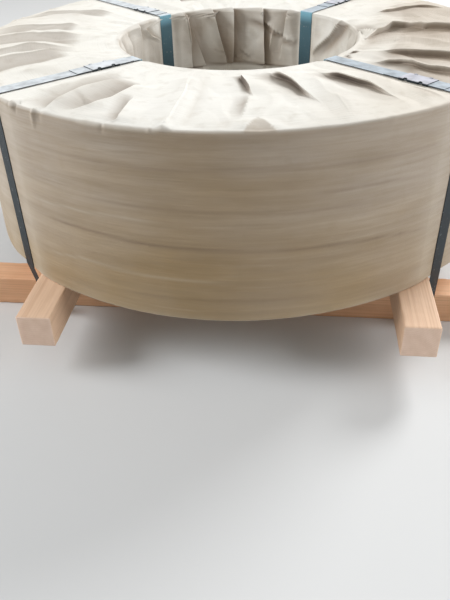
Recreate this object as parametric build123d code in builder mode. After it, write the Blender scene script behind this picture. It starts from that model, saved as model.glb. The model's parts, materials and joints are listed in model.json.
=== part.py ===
"""Paper-wrapped steel strip coil, strapped flat on a two-layer timber skid.

Millimetres, +Z up along the coil's axis, +X to the right and -Y to the front.
The origin is on the floor, below the middle of the coil.
"""
import os
from math import acos, atan2, cos, degrees, hypot, radians, sin

from build123d import *

os.makedirs("parts", exist_ok=True)

# Steel strip coil
coil_bore_diameter = 508
coil_outer_diameter = 1085
strip_width = 336
turn_bands = 5  # groups of turns that stand a little proud or back at the ends
turn_step = 0.8  # how far one group stands behind the next

# Paper wrap: folded over both ends and tucked into the bore
paper_thickness = 2.0
paper_slack = 0.3  # air between the paper and the steel
paper_corner = 2.5  # bevel where it folds over the steel's corners
fold_lap = 70  # overlap of the two tucked ends inside the bore
fold_gap = 0.2  # air between the two layers of the lap

# Pleats where the top fold takes up its spare paper: long low ridges, steep on one side
pleat_height = 8.0
pleat_steep_width = 12.0
pleat_soft_width = 40.0
pleat_bore_inset = 12.0  # flat paper between the bore and the start of a pleat
pleat_crest_inset = 80.0  # from the bore to where a pleat is highest
pleat_rim_inset = 35.0  # flat paper between a pleat's end and the outer rim
pleat_channel = 38.0  # width pressed flat under each strap and seal
front_pleats = (-127, -113, -98, -84, -70, -55)  # azimuths, steep side clockwise
right_pleats = (-31, -18, -4, 10, 24, 37)
back_pleats = (74, 88, 103, 118)
left_pleats = (152, 165, 177, 190, 202, 213)

# Timber skid: two upper bearers along Y on two lower bearers along X
bearer_width = 63
bearer_height = 63
bearer_length = 1100
bearer_arris = 2.0
left_inset = 223.5  # from the coil's side to the middle of the left upper bearer
right_inset = 184.5
bearer_stagger = 10  # how far each bearer is out of centre along its length

# Steel straps, in vertical planes through the coil's axis
strap_width = 32
strap_thickness = 0.9
strap_bend_radius = 1.0
strap_turn_radius = 4.0  # where it leaves the paper or goes round the timber
strap_seat = 0.1  # air under the strap where it lies on paper or timber
strap_proud = 0.3  # how far it stands out of its groove in the bore lining
strap_side_clearance = 0.5  # each side of the strap in its groove
strap_timber_clearance = 3.0
strap_lower_gap = 4.3  # between the lower bearers and the strap that comes down nearest
strap_lean = 2.0  # how far a strap leans in at least between the coil and the floor
strap_floor_clearance = 0.3
strap_tail = 120  # length that lies double under the seal

# Seals crimped round the doubled strap
seal_length = 57
seal_thickness = 1.0
seal_clearance = 0.15
seal_bevel = 0.6
crimp_width = 7.0
crimp_depth = 0.9  # how far each notch bites into the side of the seal
crimp_spacing = 30

# Gap between each strap and the side of an upper bearer, level with the coil's outside
front_left_gap = 20
front_right_gap = 3
back_left_gap = 37
back_right_gap = 3

# Place of each seal, as a share of the way from the bore to the outer rim
front_left_seal = 0.267
front_right_seal = 0.666
back_left_seal = 0.257
back_right_seal = 0.438

# Levels and radii that follow
upper_bearer_bottom = bearer_height
skid_top = 2 * bearer_height
coil_bore_radius = coil_bore_diameter / 2
coil_outer_radius = coil_outer_diameter / 2
wrap_gap = paper_thickness + paper_slack
wrap_bore_radius = coil_bore_radius - wrap_gap
wrap_outer_radius = coil_outer_radius + wrap_gap
wrap_width = wrap_outer_radius - wrap_bore_radius
wrap_bottom = skid_top
wrap_top = wrap_bottom + strip_width + 2 * wrap_gap
wrap_height = wrap_top - wrap_bottom
coil_bottom = wrap_bottom + wrap_gap
left_bearer_x = left_inset - coil_outer_radius
right_bearer_x = coil_outer_radius - right_inset

strap_bore_back = wrap_bore_radius - strap_proud + strap_thickness
strap_top_level = wrap_top + seal_thickness + seal_clearance + strap_seat
strap_under_level = strap_floor_clearance + strap_thickness
strap_groove_depth = strap_under_level + strap_seat
strap_groove_width = strap_width + 2 * strap_side_clearance
half_strap = strap_width / 2
strap_radius = wrap_outer_radius + strap_seat


def strap_angle(bearer_x, gap, side):
    """Angle off the X axis of a strap beside an upper bearer: side 1 is outside, -1 inside."""
    corner_reach = hypot(strap_radius, half_strap)
    corner_lean = degrees(atan2(half_strap, strap_radius))
    corner_x = abs(bearer_x) + side * (bearer_width / 2 + gap)
    return degrees(acos(corner_x / corner_reach)) - side * corner_lean


def strap_inner_y(angle):
    """How far a strap's nearer corner is from the X axis where it comes down the coil."""
    return strap_radius * sin(radians(angle)) - half_strap * cos(radians(angle))


front_left_angle = strap_angle(left_bearer_x, front_left_gap, 1)
front_right_angle = strap_angle(right_bearer_x, front_right_gap, 1)
back_left_angle = strap_angle(left_bearer_x, back_left_gap, 1)
back_right_angle = strap_angle(right_bearer_x, back_right_gap, -1)

# The lower bearers lie as far out as the straps beside the upper ones leave room for
flattest_angle = min(front_left_angle, front_right_angle, back_left_angle)
lower_bearer_y = strap_inner_y(flattest_angle) - strap_lower_gap - bearer_width / 2

# strap name: azimuth in degrees, distance of its seal from the coil's axis
straps = {
    "front_left": (
        front_left_angle - 180,
        wrap_bore_radius + front_left_seal * wrap_width,
    ),
    "front_right": (
        -front_right_angle,
        wrap_bore_radius + front_right_seal * wrap_width,
    ),
    "back_left": (
        180 - back_left_angle,
        wrap_bore_radius + back_left_seal * wrap_width,
    ),
    "back_right": (
        back_right_angle,
        wrap_bore_radius + back_right_seal * wrap_width,
    ),
}

# The wound strip: one turned solid whose turns show as steps on both ends
band_width = (coil_outer_radius - coil_bore_radius) / turn_bands
with BuildPart() as steel_coil:
    with BuildSketch(Plane.XZ):
        for band in range(turn_bands):
            step = turn_step * (band % 2)
            inner_radius = coil_bore_radius + band * band_width
            with Locations((inner_radius, coil_bottom + step)):
                Rectangle(band_width, strip_width - 2 * step, align=Align.MIN)
    revolve(axis=Axis.Z)
steel_coil.part.label = "steel_coil"
export_step(steel_coil.part, "parts/steel_coil.step")

# One pleat on the X axis: two triangular prisms that fall from its crest into the paper
pleat_root = wrap_top - paper_thickness / 2
pleat_crest_radius = wrap_bore_radius + pleat_crest_inset
pleat_ends = (wrap_bore_radius + pleat_bore_inset, wrap_outer_radius - pleat_rim_inset)
with BuildPart() as pleat:
    for end_radius in pleat_ends:
        fall = Vector(end_radius - pleat_crest_radius, 0, pleat_root - wrap_top - pleat_height)
        with BuildSketch(Plane.YZ.offset(pleat_crest_radius)):
            with BuildLine():
                Polyline(
                    (-pleat_steep_width, pleat_root),
                    (pleat_soft_width, pleat_root),
                    (0, wrap_top + pleat_height),
                    close=True,
                )
            make_face()
        extrude(amount=fall.length, dir=fall)
    split(bisect_by=Plane.XY.offset(pleat_root), keep=Keep.TOP)

# The wrap: a thin box section round the strip, open only at the lap in the bore
lap_bottom = wrap_bottom + (wrap_height - fold_lap) / 2
lap_top = lap_bottom + fold_lap
lap_middle = wrap_bore_radius + paper_thickness / 2
with BuildPart() as paper_wrap:
    with BuildSketch(Plane.XZ) as wrap_section:
        section_middle = (wrap_bore_radius + wrap_width / 2, wrap_bottom + wrap_height / 2)
        with Locations(section_middle):
            Rectangle(wrap_width, wrap_height)
        chamfer(wrap_section.vertices(), paper_corner)
        with Locations(section_middle):
            Rectangle(
                wrap_width - 2 * paper_thickness,
                wrap_height - 2 * paper_thickness,
                mode=Mode.SUBTRACT,
            )
        with Locations((lap_middle, (lap_bottom + lap_top) / 2)):
            Rectangle(fold_gap, fold_lap + fold_gap, mode=Mode.SUBTRACT)
        with Locations((lap_middle, lap_bottom)):
            Rectangle(
                paper_thickness, fold_gap, align=(Align.MAX, Align.CENTER), mode=Mode.SUBTRACT
            )
        with Locations((lap_middle, lap_top)):
            Rectangle(
                paper_thickness, fold_gap, align=(Align.MIN, Align.CENTER), mode=Mode.SUBTRACT
            )
    revolve(axis=Axis.Z)
    for azimuth in front_pleats + right_pleats + back_pleats + left_pleats:
        with Locations(Location((0, 0, 0), (0, 0, azimuth))):
            add(pleat.part)
    # The straps press the pleats flat, and their own thickness into the bore lining
    for azimuth, seal_radius in straps.values():
        with Locations(Location((0, 0, wrap_top), (0, 0, azimuth))):
            Box(
                wrap_outer_radius,
                pleat_channel,
                pleat_height,
                align=(Align.MIN, Align.CENTER, Align.MIN),
                mode=Mode.SUBTRACT,
            )
        with Locations(Location((0, 0, wrap_bottom), (0, 0, azimuth))):
            Box(
                strap_bore_back + strap_seat,
                strap_groove_width,
                wrap_height,
                align=(Align.MIN, Align.CENTER, Align.MIN),
                mode=Mode.SUBTRACT,
            )
paper_wrap.part.label = "paper_wrap"
export_step(paper_wrap.part, "parts/paper_wrap.step")


def radial_plane(azimuth):
    """Vertical plane through the axis: its x runs outwards, its y runs up."""
    outward = (cos(radians(azimuth)), sin(radians(azimuth)), 0)
    across = (sin(radians(azimuth)), -cos(radians(azimuth)), 0)
    return Plane(origin=(0, 0, 0), x_dir=outward, z_dir=across)


def strap_under_timber(azimuth):
    """Radii between which a strap lies under the lower bearer that it crosses."""
    along_x = abs(cos(radians(azimuth)))
    along_y = abs(sin(radians(azimuth)))
    outer_face = lower_bearer_y + bearer_width / 2 + strap_timber_clearance
    inner_face = lower_bearer_y - bearer_width / 2 - strap_timber_clearance
    outside = (outer_face + half_strap * along_x) / along_y
    inside = (inner_face - half_strap * along_x) / along_y
    upper_x = right_bearer_x if cos(radians(azimuth)) > 0 else -left_bearer_x
    upper_face = upper_x + bearer_width / 2 + strap_timber_clearance
    beside_upper = (upper_face + half_strap * along_y) / along_x
    if strap_radius * along_x > upper_x:
        outside = max(outside, min(beside_upper, strap_radius - strap_lean))
    return inside, outside


def strap_loop(azimuth):
    """The face of the strap that lies towards the coil, as radius and height."""
    inside, outside = strap_under_timber(azimuth)
    return [
        (strap_bore_back, wrap_bottom - strap_turn_radius / 2),
        (strap_bore_back, strap_top_level),
        (strap_radius, strap_top_level),
        (strap_radius, wrap_bottom - strap_turn_radius / 2),
        (outside, strap_under_level),
        (inside, strap_under_level),
    ]


strap_radii = [
    strap_turn_radius,
    strap_bend_radius,
    strap_bend_radius,
    strap_turn_radius,
    strap_turn_radius,
    strap_turn_radius,
]

for side, (azimuth, seal_radius) in straps.items():
    with BuildPart() as strap:
        with BuildSketch(radial_plane(azimuth)):
            with BuildLine() as loop:
                FilletPolyline(*strap_loop(azimuth), radius=strap_radii, close=True)
            make_face()
            offset(amount=strap_thickness)
            make_face(loop.line, mode=Mode.SUBTRACT)
            # The tail of the strap lies double under the seal
            with Locations((seal_radius, strap_top_level + strap_thickness)):
                Rectangle(strap_tail, strap_thickness, align=(Align.CENTER, Align.MIN))
        extrude(amount=half_strap, both=True)
    strap.part.label = "strap_" + side
    export_step(strap.part, "parts/strap_" + side + ".step")

    # A flat sleeve round both layers, with two pairs of crimp notches in its sides
    sleeve_bottom = strap_top_level - seal_clearance - seal_thickness
    hollow_height = 2 * strap_thickness + 2 * seal_clearance
    sleeve_height = hollow_height + 2 * seal_thickness
    hollow_width = strap_width + 2 * seal_clearance
    sleeve_width = hollow_width + 2 * seal_thickness
    with BuildPart() as seal:
        with BuildSketch(Plane.YZ) as sleeve_section:
            with Locations((0, sleeve_bottom + sleeve_height / 2)):
                Rectangle(sleeve_width, sleeve_height)
                chamfer(sleeve_section.vertices(), seal_bevel)
                Rectangle(hollow_width, hollow_height, mode=Mode.SUBTRACT)
        extrude(amount=seal_length / 2, both=True)
        with Locations((0, 0, sleeve_bottom)):
            with GridLocations(crimp_spacing, sleeve_width + crimp_width - 2 * crimp_depth, 2, 2):
                Cylinder(
                    crimp_width / 2,
                    sleeve_height,
                    align=(Align.CENTER, Align.CENTER, Align.MIN),
                    mode=Mode.SUBTRACT,
                )
    placed = Location((0, 0, 0), (0, 0, azimuth)) * Pos(seal_radius, 0, 0) * seal.part
    placed.label = "seal_" + side
    export_step(placed, "parts/seal_" + side + ".step")

# Upper bearers, right under the coil
upper_bearers = {
    "upper_bearer_left": (left_bearer_x, -bearer_stagger),
    "upper_bearer_right": (right_bearer_x, bearer_stagger),
}
for name, (middle_x, shift) in upper_bearers.items():
    with BuildPart() as bearer:
        with Locations((middle_x, shift, upper_bearer_bottom)):
            Box(
                bearer_width,
                bearer_length,
                bearer_height,
                align=(Align.CENTER, Align.CENTER, Align.MIN),
            )
        chamfer(bearer.edges().filter_by(Axis.Y), bearer_arris)
    bearer.part.label = name
    export_step(bearer.part, "parts/" + name + ".step")

# Lower bearers, on the floor, with the straps bitten into their undersides
lower_bearers = {
    "lower_bearer_front": (-lower_bearer_y, -bearer_stagger),
    "lower_bearer_back": (lower_bearer_y, bearer_stagger),
}
for name, (middle_y, shift) in lower_bearers.items():
    with BuildPart() as bearer:
        with Locations((shift, middle_y, 0)):
            Box(
                bearer_length,
                bearer_width,
                bearer_height,
                align=(Align.CENTER, Align.CENTER, Align.MIN),
            )
        chamfer(bearer.edges().filter_by(Axis.X), bearer_arris)
        for azimuth, seal_radius in straps.values():
            with Locations(Location((0, 0, 0), (0, 0, azimuth))):
                Box(
                    coil_outer_radius,
                    strap_groove_width,
                    strap_groove_depth,
                    align=(Align.MIN, Align.CENTER, Align.MIN),
                    mode=Mode.SUBTRACT,
                )
    bearer.part.label = name
    export_step(bearer.part, "parts/" + name + ".step")
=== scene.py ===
"""Looks of the paper-wrapped steel coil on its timber skid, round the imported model.

Lengths are millimetres until a mesh is made, where they become metres. Azimuths are degrees
counterclockwise from the X axis.
"""

import json
import math
from collections import namedtuple
from itertools import product

import bpy
import numpy as np
from mathutils import Matrix, Vector


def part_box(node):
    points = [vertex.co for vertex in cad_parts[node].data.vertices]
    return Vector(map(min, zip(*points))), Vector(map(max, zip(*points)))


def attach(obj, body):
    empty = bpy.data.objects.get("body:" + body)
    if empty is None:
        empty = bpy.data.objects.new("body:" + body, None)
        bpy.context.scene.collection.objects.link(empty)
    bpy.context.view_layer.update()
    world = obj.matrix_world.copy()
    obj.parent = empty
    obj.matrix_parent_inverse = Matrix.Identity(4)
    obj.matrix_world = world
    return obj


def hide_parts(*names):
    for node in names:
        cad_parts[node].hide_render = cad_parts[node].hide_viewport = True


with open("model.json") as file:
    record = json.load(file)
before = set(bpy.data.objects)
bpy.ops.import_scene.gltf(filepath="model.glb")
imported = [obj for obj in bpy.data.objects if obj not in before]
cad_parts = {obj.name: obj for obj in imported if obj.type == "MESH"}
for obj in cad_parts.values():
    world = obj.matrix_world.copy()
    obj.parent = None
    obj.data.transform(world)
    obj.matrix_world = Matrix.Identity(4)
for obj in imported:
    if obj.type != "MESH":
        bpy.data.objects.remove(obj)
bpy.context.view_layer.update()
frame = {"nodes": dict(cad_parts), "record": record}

MM = 0.001


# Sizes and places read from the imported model
def corners(node):
    """Lowest and highest corner of a node."""
    low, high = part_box(node)
    return np.array(low) / MM, np.array(high) / MM


def middle_of(node):
    low, high = corners(node)
    return (low + high) / 2


eye = next(m for m in frame["record"]["mounts"] if m["name"] == "eye")["dims"]
wrap_low, wrap_high = corners("paper_wrap")
strap_low, strap_high = corners("strap_front_left")
bearer_low, bearer_high = corners("upper_bearer_left")
BORE_R, OUTER_R = eye["r_mm"], wrap_high[0]
WRAP_BOTTOM, WRAP_TOP = wrap_low[2], wrap_low[2] + eye["length_mm"]
BEARER, BEARER_LENGTH, _ = bearer_high - bearer_low
LEFT_X, RIGHT_X = middle_of("upper_bearer_left")[0], middle_of("upper_bearer_right")[0]
LOWER_Y = middle_of("lower_bearer_back")[1]
STRAP_WIDTH, STRAP_THICK = 32, 0.9
STRAP_TOP = strap_high[2] - 2 * STRAP_THICK
STRAP_UNDER = strap_low[2] + STRAP_THICK
# Each strap's azimuth, and the distance of its seal from the axis
STRAPS = {}
for corner_name in ("front_left", "front_right", "back_left", "back_right"):
    seal_x, seal_y, _ = middle_of("seal_" + corner_name)
    STRAPS[corner_name] = math.degrees(math.atan2(seal_y, seal_x)), math.hypot(seal_x, seal_y)


# Helpers
def smooth(a, b, x):
    """0 below a, 1 above b, eased between."""
    t = np.clip((x - a) / (b - a), 0, 1)
    return t * t * (3 - 2 * t)


def between(a, b, c, d, x):
    """0 below a and above d, 1 from b to c, eased between."""
    return smooth(a, b, x) * (1 - smooth(c, d, x))


def turn(angle, middle):
    """Signed difference of two azimuths in degrees, -180 to 180."""
    return (angle - middle + 180) % 360 - 180


def circle(azimuth):
    """Cosine and sine of an azimuth."""
    return np.cos(np.radians(azimuth)), np.sin(np.radians(azimuth))


def steps(a, b, count):
    """Both ends of a run and the places that divide it evenly."""
    return np.linspace(a, b, count + 1)


# Noise reads random values from a table, at places mixed from the cell's numbers
TABLE_SIZE = 4096
MIX_X, MIX_Y, MIX_Z = 73856093, 19349663, 83492791


def random_table(seed):
    return np.random.default_rng(seed).uniform(-1, 1, TABLE_SIZE)


def cell_noise(x, y, z, seed):
    """Smooth seeded noise from -1 to 1, with cells of one unit."""
    table = random_table(seed)
    x, y, z = np.broadcast_arrays(x, y, z)
    ix, iy, iz = (np.floor(v).astype(np.int64) for v in (x, y, z))
    fx, fy, fz = (smooth(0, 1, v - np.floor(v)) for v in (x, y, z))
    total = np.zeros(x.shape)
    for a, b, c in product((0, 1), repeat=3):
        key = (ix + a) * MIX_X ^ (iy + b) * MIX_Y ^ (iz + c) * MIX_Z
        weight = (fx if a else 1 - fx) * (fy if b else 1 - fy) * (fz if c else 1 - fz)
        total += table[key % TABLE_SIZE] * weight
    return total


def layered_noise(x, y, z, seed):
    """Three octaves of cell noise."""
    return sum(0.5**i * cell_noise(x * 2**i, y * 2**i, z * 2**i, seed + i) for i in range(3))


def creased_noise(u, v, around, seed):
    """Seeded noise from -1 to 1 made of flat facets, repeating after `around` cells of v."""
    table = random_table(seed)
    u, v = np.broadcast_arrays(u, v)
    i, j = np.floor(u).astype(np.int64), np.floor(v).astype(np.int64)
    a, b = u - i, v - j

    def corner(p, q):
        key = (i + p) * MIX_X ^ ((j + q) % around) * MIX_Y
        return table[key % TABLE_SIZE]

    # Two facets on either side of a cell's rising or falling diagonal
    c00, c10, c01, c11 = corner(0, 0), corner(1, 0), corner(0, 1), corner(1, 1)
    right = c00 * (1 - a) + c10 * (a - b) + c11 * b
    left = c00 * (1 - b) + c01 * (b - a) + c11 * a
    near = c00 * (1 - a - b) + c10 * a + c01 * b
    far = c11 * (a + b - 1) + c10 * (1 - b) + c01 * (1 - a)
    rises = table[(i * 57 + (j % around) * 131) % TABLE_SIZE] > 0
    return np.where(rises, np.where(a > b, right, left), np.where(a + b < 1, near, far))


def creased_ring(azimuth, cells, seed):
    """Straight runs between seeded heights from -1 to 1 round the circle."""
    rng = np.random.default_rng(seed)
    places = (np.arange(cells) + rng.uniform(-0.35, 0.35, cells)) * 360 / cells
    return np.interp(azimuth, places, rng.uniform(-1, 1, cells), period=360)


def numbered(points):
    """The number of each point in an array of points."""
    return np.arange(points.size // 3).reshape(points.shape[:-1])


def grid_faces(index, close_rows=False, close_columns=True):
    """Quads between neighbouring points of a grid, which may be closed on itself."""
    beside = np.roll(index, -1, axis=1)
    rows = index.shape[0] - (not close_rows)
    columns = index.shape[1] - (not close_columns)
    quad = index, beside, np.roll(beside, -1, axis=0), np.roll(index, -1, axis=0)
    return np.stack([c[:rows, :columns] for c in quad], axis=-1).reshape(-1, 4).tolist()


def end_faces(index):
    """The faces that close a tube made of rings of points."""
    return [index[0].tolist()[::-1], index[-1].tolist()]


def rounded_box(w, h, r, upright, level):
    """Outline of a box, counterclockwise, with extra points on its upright and level runs."""
    points = []
    for quarter, (sx, sy) in enumerate(((1, -1), (1, 1), (-1, 1), (-1, -1))):
        for degrees in (0, 30, 60, 90):
            a = math.radians(-90 + 90 * quarter + degrees)
            points.append((sx * (w - r) + r * math.cos(a), sy * (h - r) + r * math.sin(a)))
        x, y = points[-1]
        if quarter % 2:
            points += [(x * t, y) for t in np.linspace(1, -1, level + 2)[1:-1]]
        else:
            points += [(x, y * t) for t in np.linspace(1, -1, upright + 2)[1:-1]]
    return points


def new_object(name, data):
    obj = bpy.data.objects.new(name, data)
    bpy.context.scene.collection.objects.link(obj)
    return obj


def mesh_object(name, points, faces, replaced, mat, smooth_shade=True, values=None):
    """A piece made of points in millimetres, riding on the root body."""
    mesh = bpy.data.meshes.new(name)
    mesh.from_pydata((points.reshape(-1, 3) * MM).tolist(), [], faces)
    for key, data in (values or {}).items():
        layer = mesh.attributes.new(key, "FLOAT", "POINT")
        layer.data.foreach_set("value", np.asarray(data, dtype=np.float32).ravel())
    mesh.validate()
    if smooth_shade:
        mesh.shade_smooth()
    mesh.materials.append(mat)
    obj = new_object(name, mesh)
    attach(obj, "root")
    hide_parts(replaced)


# The wrap's section, followed from the bore over the top, down the side and under: radius of
# the bends, lengths of the straight runs and of a bend, and where each run starts
CORNER = 3.4
LONG = WRAP_TOP - WRAP_BOTTOM - 2 * CORNER
WIDE = OUTER_R - BORE_R - 2 * CORNER
ARC = math.pi / 2 * CORNER
AT_BORE, AT_TOP, AT_SIDE, AT_BOTTOM, ROUND = np.cumsum(
    [0, LONG + ARC, WIDE + ARC, LONG + ARC, WIDE + ARC]
)


def section(s):
    """Rounded box section of the wrap: radius, height and outward normal at arc length s."""
    near, far = BORE_R + CORNER, OUTER_R - CORNER
    low, high = WRAP_BOTTOM + CORNER, WRAP_TOP - CORNER
    # At the ends of the runs and bends: a point one bend radius inside, and the angle outward
    stops = np.cumsum([AT_BORE, LONG, ARC, WIDE, ARC, LONG, ARC, WIDE, ARC])
    s = np.mod(s, ROUND)
    r = np.interp(s, stops, [near, near, near, far, far, far, far, near, near])
    z = np.interp(s, stops, [low, high, high, high, high, low, low, low, low])
    nr, nz = circle(np.interp(s, stops, [180, 180, 90, 90, 0, 0, -90, -90, -180]))
    return r + CORNER * nr, z + CORNER * nz, nr, nz


def from_strap(azimuth, radius):
    """Distance from the middle line of the nearest strap."""
    angles = (np.radians(turn(azimuth, middle)) for middle, _ in STRAPS.values())
    return np.minimum.reduce(
        [np.where(np.cos(a) > 0, np.abs(radius * np.sin(a)), np.inf) for a in angles]
    )


# A fold's section: widths of its steep wall, its soft side and the hollow at the wall's foot,
# how deep that is against the rise, how far the crest hangs over, and how dark the painted shade in
# its gap is
Style = namedtuple("Style", "steep soft pool hollow over gap")
POCKET = Style(5, 62, 54, 0.6, 15, 1)
SLIT = Style(4, 40, 16, 0.9, 4, 1)
PLEAT = Style(6, 46, 40, 0.5, 10, 0.4)
FLUTE = Style(38, 30, 8, 0.3, 0, 0.56)
WIDE_FLUTE = Style(60, 34, 10, 0.3, 0, 0.62)
LAP = Style(6, 50, 90, 0.6, 11, 0.74)
BROAD = Style(6, 48, 150, 0.5, 11, 0.55)
LOBE = Style(6, 40, 66, 0.5, 3, 0.95)
CREASE = Style(6, 34, 22, 0.6, 1, 0.5)
RIDGE = Style(26, 44, 24, 0.4, 0, 0)
PANEL = Style(5, 50, 28, 0.5, 7, 0.6)
DEEP_PANEL = Style(6, 44, 42, 0.4, 8, 0.7)
SLANT = Style(26, 44, 30, 0.4, 0, 0.7)
WRINKLE = Style(7, 18, 14, 0.5, 1, 0.3)

# Folds: points along the line of the crest, rise, section, side that is high (+1 is
# counterclockwise), and the reach at each end over which the fold grows and fades.
# A point on the top is a radius and an azimuth
TOP_RUNS = [
    ([(290, -84.2), (340, -82.9), (414, -81.6)], 5.5, SLIT, 1, 14, 50),
    ([(282, -74.2), (326, -72.4), (350, -71.4), (373, -70.2), (466, -68.8)], 9, POCKET, 1, 44, 110),
    ([(318, -58.8), (371, -56.9), (406, -56.2), (429, -55), (505, -54.4)], 8.5, POCKET, 1, 50, 110),
    ([(320, -37.7), (350, -36), (376, -34.2), (410, -35), (525, -32)], 7.5, LAP, 1, 44, 80),
    ([(310, -27.6), (347, -26.3), (375, -25.8), (429, -23.2), (520, -21.4)], 9, LAP, 1, 56, 70),
    ([(258, -9.2), (289, 2.6), (328, 9.6), (358, 8.6), (388, 4.2), (525, 3)], 9, BROAD, 1, 24, 70),
    ([(350, 31), (391, 30.4), (434, 31.6), (473, 31.6), (540, 28)], 4.5, BROAD, 1, 30, 60),
    ([(346, 73.5), (536, 69.6)], 8, PLEAT, 1, 40, 70),
    ([(338, 88.6), (540, 86.2)], 8, LAP, 1, 44, 70),
    ([(342, 104.4), (536, 100.6)], 8, PLEAT, 1, 40, 70),
    ([(336, 119.4), (540, 115.6)], 8, LAP, 1, 44, 70),
    ([(350, 149.6), (402, 152), (491, 157.8), (546, 163)], 5, FLUTE, -1, 40, 50),
    ([(356, 170.6), (397, 171.4), (462, 174.6), (546, 178.4)], 5, FLUTE, -1, 26, 70),
    ([(326, 184.6), (382, 184.6), (436, 183), (491, 185.6), (546, 188.4)], 6, WIDE_FLUTE, -1, 44, 60),
    ([(336, 199), (383, 197.4), (418, 196.2), (451, 196.8), (546, 200.6)], 5, FLUTE, -1, 60, 40),
    ([(356, 200.6), (377, 201.8), (419, 204.8), (462, 205), (546, 208.4)], 6, WIDE_FLUTE, -1, 36, 40),
    ([(348, -115.8), (450, -119.1), (538, -119.8)], 10, LOBE, 1, 60, 36),
    ([(372, -111), (406, -110.5), (462, -110.7), (500, -112.5), (528, -115.5)], 6, LOBE, 1, 30, 40),
    ([(436, -107.4), (503, -105.5), (544, -104.6)], 4.5, CREASE, 1, 30, 24),
    ([(276, -101.2), (400, -97.5), (540, -96.6)], 3.6, RIDGE, -1, 80, 30),
    ([(420, -64.2), (530, -66.6)], 1.6, RIDGE, 1, 40, 45),
    ([(436, -46), (535, -47.2)], 2.6, CREASE, 1, 40, 45),
    ([(264, -31.9), (280, -29)], 3.5, SLIT, 1, 6, 8),
]
# Short folds that cross them
TOP_CREASES = [
    ([(464, -118.2), (500, -112)], 5, CREASE, 1, 20, 14),
    ([(398, -82.3), (510, -84.7)], 3.4, CREASE, 1, 40, 50),
    ([(500, -83.6), (540, -84.4)], 3, RIDGE, 1, 20, 8),
    ([(500, -81.4), (540, -79.4)], 3, RIDGE, -1, 20, 8),
    ([(263, -34), (286, -37.4)], 4, SLIT, 1, 6, 10),
    ([(250, 1), (259, 5.5), (279, 5.4), (300, -2)], 4.5, SLANT, -1, 1, 16),
    ([(316, -12.4), (332, -7.2), (354, -1.6)], 2.5, WRINKLE, 1, 8, 12),
]

# A point in the bore is a depth below the rim and an azimuth
BORE_RUNS = [
    ([(-6, 126.6), (64, 123.1), (117, 122.6), (190, 121)], 7, PANEL, 1, 10, 60),
    ([(-6, 125.8), (12, 124.3), (66, 119.5), (121, 114.7), (190, 110)], 11, DEEP_PANEL, 1, 16, 60),
    ([(-6, 109.3), (59, 105.5), (108, 102.3), (200, 99)], 12, DEEP_PANEL, 1, 8, 60),
    ([(-6, 96.9), (73, 97.1), (126, 97.8), (220, 98)], 12, DEEP_PANEL, 1, 8, 60),
    ([(-6, 80.3), (48, 79.6), (125, 78.7), (220, 78)], 9, PANEL, 1, 8, 60),
    ([(-6, 160), (34, 159.3), (72, 161), (160, 162)], 8, PANEL, 1, 8, 60),
    ([(6, 155.5), (35, 149), (47, 143), (60, 139)], 6, WRINKLE, 1, 14, 20),
    ([(-6, 66), (120, 70)], 7, PANEL, -1, 8, 40),
]
BORE_CREASES = [
    ([(20, 82), (30, 78.5), (51, 70.8), (69, 60.3), (90, 52)], 9, SLANT, -1, 12, 20),
    ([(-11, 24.4), (29, 33.6), (62, 43.3), (100, 52)], 10, SLANT, 1, 8, 40),
    ([(84, 112), (128, 84)], 5, WRINKLE, -1, 16, 20),
    ([(88, 96), (118, 84)], 5, WRINKLE, -1, 12, 14),
    ([(20, 104), (62, 99)], 4.5, WRINKLE, 1, 14, 20),
    ([(30, 74), (100, 77)], 4, WRINKLE, -1, 14, 20),
]


def seeded_folds():
    """Folds for the rest of the bore, where the photo shows none."""
    rng = np.random.default_rng(41)
    folds, azimuth = [], 172
    while azimuth < 374:
        line = [(4, azimuth), (rng.uniform(110, 230), azimuth + rng.uniform(-4, 4))]
        style = DEEP_PANEL if rng.uniform() > 0.5 else PANEL
        rise = rng.uniform(6, 11)
        side = 1 if rng.uniform() > 0.3 else -1
        folds.append((line, rise, style, side, 30, 60))
        azimuth += rng.uniform(9, 16)
    return folds


BORE_RUNS += seeded_folds()


def fold_reach(line, grow, fade, along):
    """How far a fold has grown, 0 to 1, along its line."""
    first, last = line[0][0], line[-1][0]
    return between(first, first + grow, last - fade, last, along)


# Columns of the wrap's grid round the axis, and how far and how closely they crowd at a fold
AROUND = 1400
CROWD_REACH, CROWD_POWER = 2.6, 1.7


def follow(runs, azimuth, along, reach, scale):
    """Azimuths of grid lines, crowded at the folds and bent to run along their crests."""
    crests = []
    for line, _, style, side, grow, fade in runs:
        over = style.over * fold_reach(line, grow, fade, along)
        crests.append(np.interp(along, *zip(*line)) + side * np.degrees(over / scale))
    crests = np.array(crests)
    middles = crests.mean(axis=1)
    bends = (crests - middles[:, None]) * reach
    apart = np.abs(turn(middles[:, None], middles[None, :])) + 360 * np.eye(len(middles))
    near = np.minimum(CROWD_REACH, 0.45 * apart.min(axis=1))
    crowded = azimuth.copy()
    for middle, wide in zip(middles, near):
        away = turn(azimuth, middle)
        close = np.abs(away) < wide
        pulled = np.sign(away) * wide * (np.abs(away) / wide) ** CROWD_POWER
        crowded[close] = (azimuth - away + pulled)[close]
    return crowded[:, None] + np.stack(
        [np.interp(crowded, middles, bend, period=360) for bend in bends.T], axis=1
    )


# What all folds share: a first share of the wall's fall in a first part of its width, the power
# of their curves, and widths of the painted highlight on the crest, the painted shade at the foot and
# what an overhang drags along
LIP_FALL, LIP_PART, CURVE = 0.25, 0.12, 1.3
CREST_WIDTH, FOOT_WIDTH, DRAG_WIDTH = 2.5, 11, 18


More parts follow.
